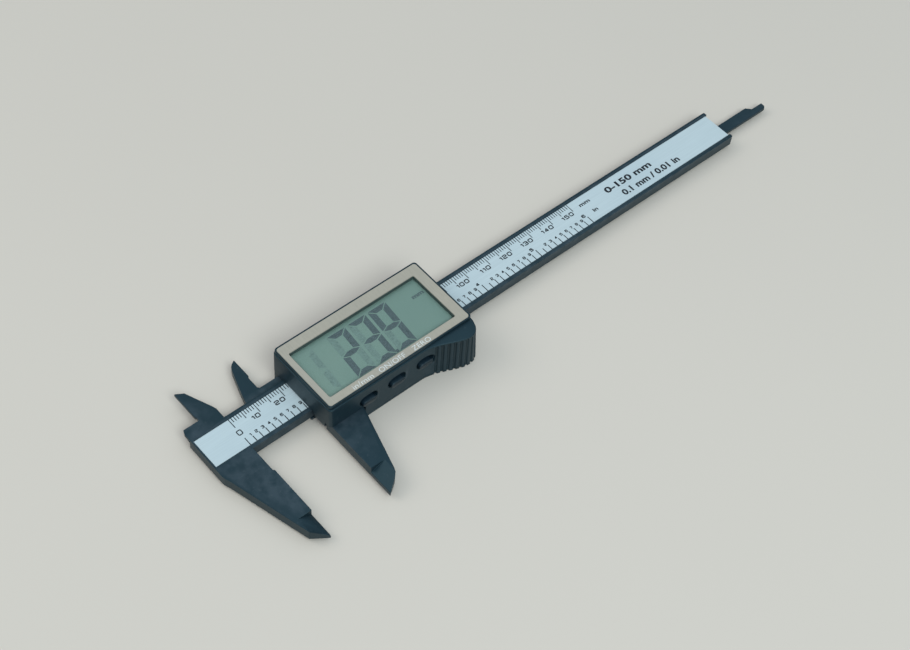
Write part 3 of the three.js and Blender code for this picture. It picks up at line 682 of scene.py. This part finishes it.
def scale_numbers():
    shape = bmesh.new()
    for tens in range(10, MM_RANGE + 1, 10):
        add_numerals(shape, str(tens), tens, TENS_STYLE)
    add_numerals(shape, "0", 0, ORIGIN_STYLE)
    for tenth in range(1, TENTHS + 1):
        digit = tenth % 10
        if digit == 0:
            add_numerals(shape, str(tenth // 10), tenth * TENTH, INCH_STYLE)
        elif digit > 1 or tenth == 1:
            add_numerals(shape, str(digit), tenth * TENTH, TENTH_STYLE)
    for row in LABEL_ROWS:
        add_text(shape, LABEL_TOP, *row)
    return mesh_piece("scale_numbers", shape, LABEL_INK, "beam")


# ---------- display ----------
WINDOW = (26.25, 79.2, -13.45, 8.25)
# Lining of the window's walls that carries the painted shade: thickness, foot and top.
LINING_THICK = 0.12
LINING_FOOT = 15.36
LINING_TOP = 16.7
DIGIT_WIDTH = 7.6
DIGIT_HEIGHT = 18.8
BAR_ACROSS = 2.0
BAR_UPRIGHT = 2.3
BAR_GAP = 0.26
SLANT = math.tan(math.radians(4.5))
DIGIT_FOOT_Y = -12.1
SEGMENTS = {"2": "abged", "3": "abgcd", "9": "abcdfg"}
ALL_SEGMENTS = "abcdefg"
READING = (("2", 39.2), ("3", 47.8), ("9", 56.4))  # each digit and its left edge
BLANK_DIGIT_X = 25.2
POINT = [(55.45, -12.1), (56.4, -12.1), (56.5, -10.9), (55.55, -10.9)]  # the decimal point's corners
BAR_TIP = 0.1  # how far in the middle bar's tips start
UNIT_ROW = ("mm", 73.7, 1.6, 1.7, 1.35, 0.1)
LEGENDS = (("in/mm", 34.0, 1.27), ("ON/OFF", 45.0, 1.13), ("ZERO", 59.2, 1.12))  # text, left edge, stretch
LEGEND_FOOT_Y, LEGEND_HEIGHT, LEGEND_BOLD = -16.1, 1.95, -0.015


def segment_outline(letter):
    """One of the seven bars, in a cell whose lower left corner is 0, 0."""
    w, h, a, u, g = DIGIT_WIDTH, DIGIT_HEIGHT, BAR_ACROSS, BAR_UPRIGHT, BAR_GAP
    middle = h / 2
    outline = {
        "d": [(g, 0), (w - g, 0), (w - u - g, a), (u + g, a)],
        "e": [(0, g), (u, a + g), (u, middle - a / 2 - g), (0, middle - g)],
        "g": [(g + BAR_TIP, middle), (u + g, middle - a / 2), (w - u - g, middle - a / 2),
              (w - g - BAR_TIP, middle), (w - u - g, middle + a / 2), (u + g, middle + a / 2)],
    }
    outline["a"] = [(x, h - y) for x, y in outline["d"]]
    outline["f"] = [(x, h - y) for x, y in outline["e"]]
    outline["c"] = [(w - x, y) for x, y in outline["e"]]
    outline["b"] = [(w - x, h - y) for x, y in outline["e"]]
    return outline[letter]


def add_digit(shape, letters, x):
    for letter in letters:
        outline = [(x + px + py * SLANT, DIGIT_FOOT_Y + py) for px, py in segment_outline(letter)]
        add_prism(shape, outline, LCD_TOP, LCD_TOP + INK_THICK)


def display_digits():
    shape = bmesh.new()
    for text, x in READING:
        add_digit(shape, SEGMENTS[text], x)
    add_prism(shape, POINT, LCD_TOP, LCD_TOP + INK_THICK)
    add_text(shape, LCD_TOP, *UNIT_ROW)
    return mesh_piece("display_digits", shape, SEGMENT_INK, "slider")


def display_ghosts():
    """Bars that are off but still just visible."""
    shape = bmesh.new()
    add_digit(shape, "bc", BLANK_DIGIT_X)
    for text, x in READING:
        add_digit(shape, [letter for letter in ALL_SEGMENTS if letter not in SEGMENTS[text]], x)
    return mesh_piece("display_ghosts", shape, GHOST_INK, "slider")


def window_lining():
    """Thin grey-green lining of the window's walls down to its pane, coloured as the display's shaded edge:
    painted shade.
    """
    x0, x1, y0, y1 = WINDOW
    shape = bmesh.new()
    for ax, ay, bx, by in ((x0, y0, x1, y0 + LINING_THICK), (x0, y1 - LINING_THICK, x1, y1),
                           (x0, y0 + LINING_THICK, x0 + LINING_THICK, y1 - LINING_THICK), (x1 - LINING_THICK, y0 + LINING_THICK, x1, y1 - LINING_THICK)):
        add_prism(shape, [(ax, ay), (bx, ay), (bx, by), (ax, by)], LINING_FOOT, LINING_TOP)
    return mesh_piece("window_lining", shape, WINDOW_SHADE_PAINT, "slider")


def button_legends():
    shape = bmesh.new()
    for text, left, stretch in LEGENDS:
        add_text(shape, BEZEL_TOP, text, left, LEGEND_FOOT_Y, LEGEND_HEIGHT, stretch, LEGEND_BOLD)
    return mesh_piece("button_legends", shape, WHITE_INK, "slider")


# ---------- build ----------
refined("beam_frame", BLACK, 0.14, "beam")
refined("scale_label", FOIL, 0.04, "beam", 1)
refined("slider_frame", BLACK, 0.14, "slider")
slider_case()
refined("display_cover", BLACK, 0.2, "slider", sharp_deg=50)
refined("bezel_plate", SILVER, 0.06, "slider", 2, 50)
refined("window_pane", PANE, 0.04, "slider", 1, 50)
refined("lcd_front_glass", CRYSTAL, 0.05, "slider", 1)
refined("depth_rod", BLACK, 0.15, "slider")
refined("back_plate", BLACK, 0.15, "slider", sharp_deg=50)
refined("battery_door", BLACK, 0.12, "battery_cover", sharp_deg=50)
for name in ("in_mm", "on_off", "zero"):
    refined("button_" + name, CAP_BLACK, 0.22, name + "_button", sharp_deg=50)
for name in ("back_screw_1", "back_screw_2", "back_screw_3", "back_screw_4", "rod_screw"):
    refined(name, STEEL, 0.08, "slider", 2, 50)

scale_marks()
scale_numbers()
display_digits()
display_ghosts()
window_lining()
button_legends()

INNER = {"scale_strip": BOARD, "main_board": BOARD, "gib_strip": BRONZE, "gib_spring": STEEL,
         "lcd_rear_glass": CRYSTAL, "lcd_carrier": SOFT_BLACK, "zebra_connector": SOFT_BLACK,
         "controller_chip": SOFT_BLACK, "filter_capacitor": BRONZE, "board_screw_1": STEEL,
         "board_screw_2": STEEL, "button_cell": STEEL, "battery_contact_negative": BRONZE,
         "battery_contact_positive": BRONZE, "switch_in_mm": SOFT_BLACK, "switch_on_off": SOFT_BLACK,
         "switch_zero": SOFT_BLACK}
for node, material in INNER.items():
    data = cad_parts[node].data
    data.materials.clear()
    data.materials.append(material)


# ---------- floor, light and camera ----------
FLOOR_HALF = 3.0  # metres
FLOOR_SINK = 0.05
HORIZON, HALFWAY, OVERHEAD = (0.17, 0.19, 0.2, 1), (0.36, 0.43, 0.50, 1), (0.78, 0.90, 1.0, 1)
SKY_STOPS = (0.05, 0.68, 0.92)
SKY_STRENGTH = 1.02


def floor():
    shape = bmesh.new()
    corners = [shape.verts.new((x * FLOOR_HALF, y * FLOOR_HALF, -FLOOR_SINK * MM))
               for x, y in ((-1, -1), (1, -1), (1, 1), (-1, 1))]
    shape.faces.new(corners)
    data = bpy.data.meshes.new("floor")
    shape.to_mesh(data)
    shape.free()
    shader = Shader("pale_floor", (211, 201, 189), 0.9, Specular_IOR_Level=0.12)
    cloud = shader.noise(3, 3)
    tone = shader.mottled(cloud, 0.985, 1.015)
    data.materials.append(shader.finish(tone))
    plane = bpy.data.objects.new("floor", data)
    bpy.context.scene.collection.objects.link(plane)


def softbox(name, place, size, power, colour):
    """Square area light that faces the middle of the caliper."""
    lamp = bpy.data.lights.new(name, "AREA")
    lamp.shape = "RECTANGLE"
    lamp.size, lamp.size_y = size
    lamp.energy = power
    lamp.color = colour
    holder = bpy.data.objects.new(name, lamp)
    holder.location = place
    holder.rotation_euler = (-Vector(place)).to_track_quat("-Z", "Y").to_euler()
    bpy.context.scene.collection.objects.link(holder)


def world_light():
    """Pale overhead that fades to a dim horizon."""
    world = bpy.data.worlds.new("studio")
    world.use_nodes = True
    tree = world.node_tree
    sky = tree.nodes["Background"]
    place = tree.nodes.new("ShaderNodeTexCoord")
    split = tree.nodes.new("ShaderNodeSeparateXYZ")
    rise = tree.nodes.new("ShaderNodeValToRGB")
    low, high = rise.color_ramp.elements
    low.position, low.color = SKY_STOPS[0], HORIZON
    high.position, high.color = SKY_STOPS[2], OVERHEAD
    shoulder = rise.color_ramp.elements.new(SKY_STOPS[1])
    shoulder.color = HALFWAY
    tree.links.new(place.outputs["Generated"], split.inputs[0])
    tree.links.new(split.outputs["Z"], rise.inputs[0])
    tree.links.new(rise.outputs[0], sky.inputs["Color"])
    sky.inputs["Strength"].default_value = SKY_STRENGTH
    bpy.context.scene.world = world


def camera():
    lens = bpy.data.cameras.new("camera")
    lens.lens = CAMERA_LENS_MM
    lens.sensor_width = SENSOR_MM
    lens.shift_x, lens.shift_y = CAMERA_SHIFT
    holder = bpy.data.objects.new("camera", lens)
    holder.location = CAMERA_PLACE
    holder.rotation_euler = Euler([math.radians(angle) for angle in CAMERA_TURN_DEG], "XYZ")
    bpy.context.scene.collection.objects.link(holder)
    bpy.context.scene.camera = holder


floor()
world_light()
softbox("key", (-0.35, -1.15, 1.4), (1.0, 0.8), 17, (0.84, 0.96, 1.0))
softbox("fill", (-1.0, 0.9, 1.2), (1.2, 0.9), 7, (1.0, 0.98, 0.94))
camera()
bpy.context.scene.view_settings.view_transform = "Standard"
